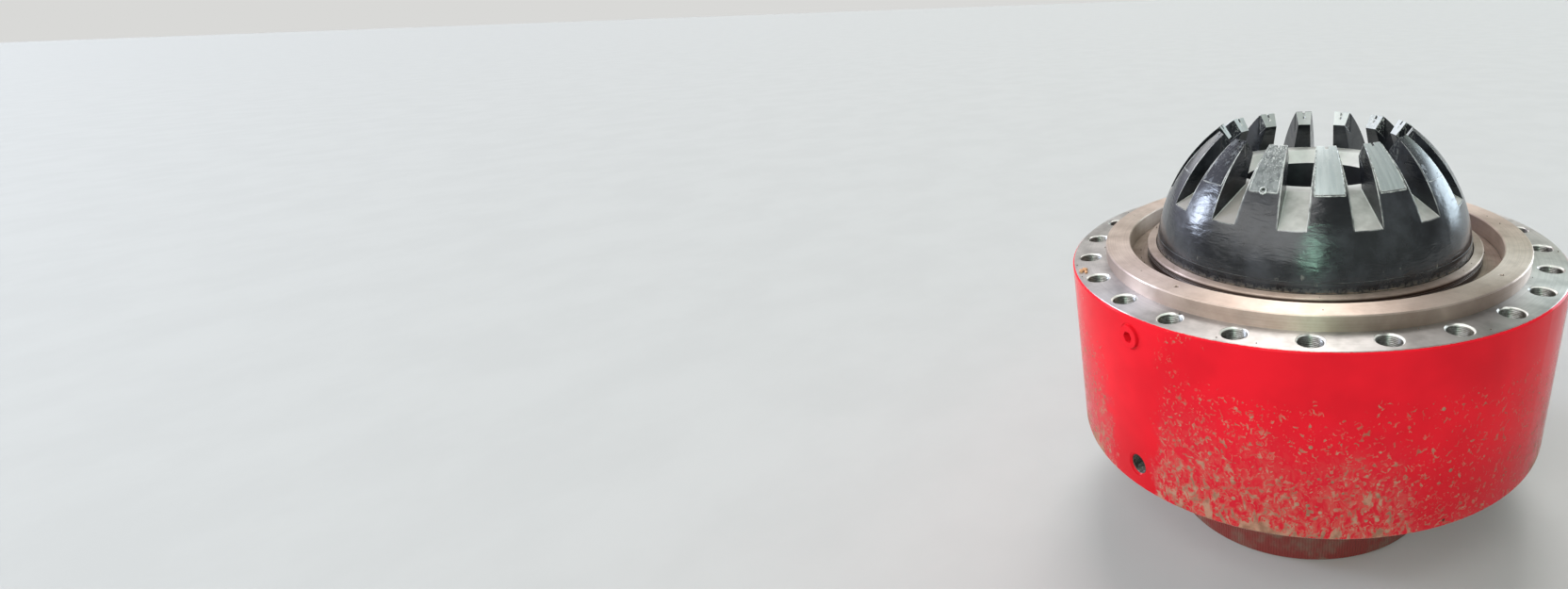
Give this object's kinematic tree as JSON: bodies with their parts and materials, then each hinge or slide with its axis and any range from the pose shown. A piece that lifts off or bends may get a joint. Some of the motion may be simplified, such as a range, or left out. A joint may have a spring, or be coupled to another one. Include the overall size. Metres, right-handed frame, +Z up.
{
  "type": "annular blowout preventer without its upper cover",
  "caption": "Round pressure vessel body with bottom flange, adapter ring, lifting piston and a domed, ribbed rubber packing element; its bolted upper cover is off.",
  "frame": {"origin": "on the bore axis at the underside of the bottom flange, where it stands on the floor", "axes": "+Z up along the bore axis; the two side ports face -Y"},
  "size_m": [1.2698, 1.2765, 1.0575],
  "materials": {
    "red_enamel": "gloss enamel, chipped",
    "machined_steel": "turned and ground",
    "ring_steel": "turned, lightly tarnished",
    "element_rubber": "moulded",
    "segment_steel": "cast and ground",
    "seal_rubber": "smooth"
  },
  "bodies": {
    "housing": {"bottom_flange": "red_enamel", "neck": "red_enamel", "lower_housing": "red_enamel", "opening_port_plug": "red_enamel", "adapter_ring": "ring_steel", "adapter_ring_outer_seal": "seal_rubber", "adapter_ring_inner_seal": "seal_rubber"},
    "piston": {"piston": "machined_steel", "packing_element": "element_rubber", "piston_head_seal": "seal_rubber", "piston_bore_seal": "seal_rubber", "steel_segment_01": "segment_steel", "steel_segment_02": "segment_steel", "steel_segment_03": "segment_steel", "steel_segment_04": "segment_steel", "steel_segment_05": "segment_steel", "steel_segment_06": "segment_steel", "steel_segment_07": "segment_steel", "steel_segment_08": "segment_steel", "steel_segment_09": "segment_steel", "steel_segment_10": "segment_steel", "steel_segment_11": "segment_steel", "steel_segment_12": "segment_steel", "steel_segment_13": "segment_steel", "steel_segment_14": "segment_steel"}
  },
  "joints": [
    {"name": "piston_slide", "type": "slide", "parent": "housing", "child": "piston", "axis": [0, 0, 1], "range_m": [0, 0.19]}
  ]
}
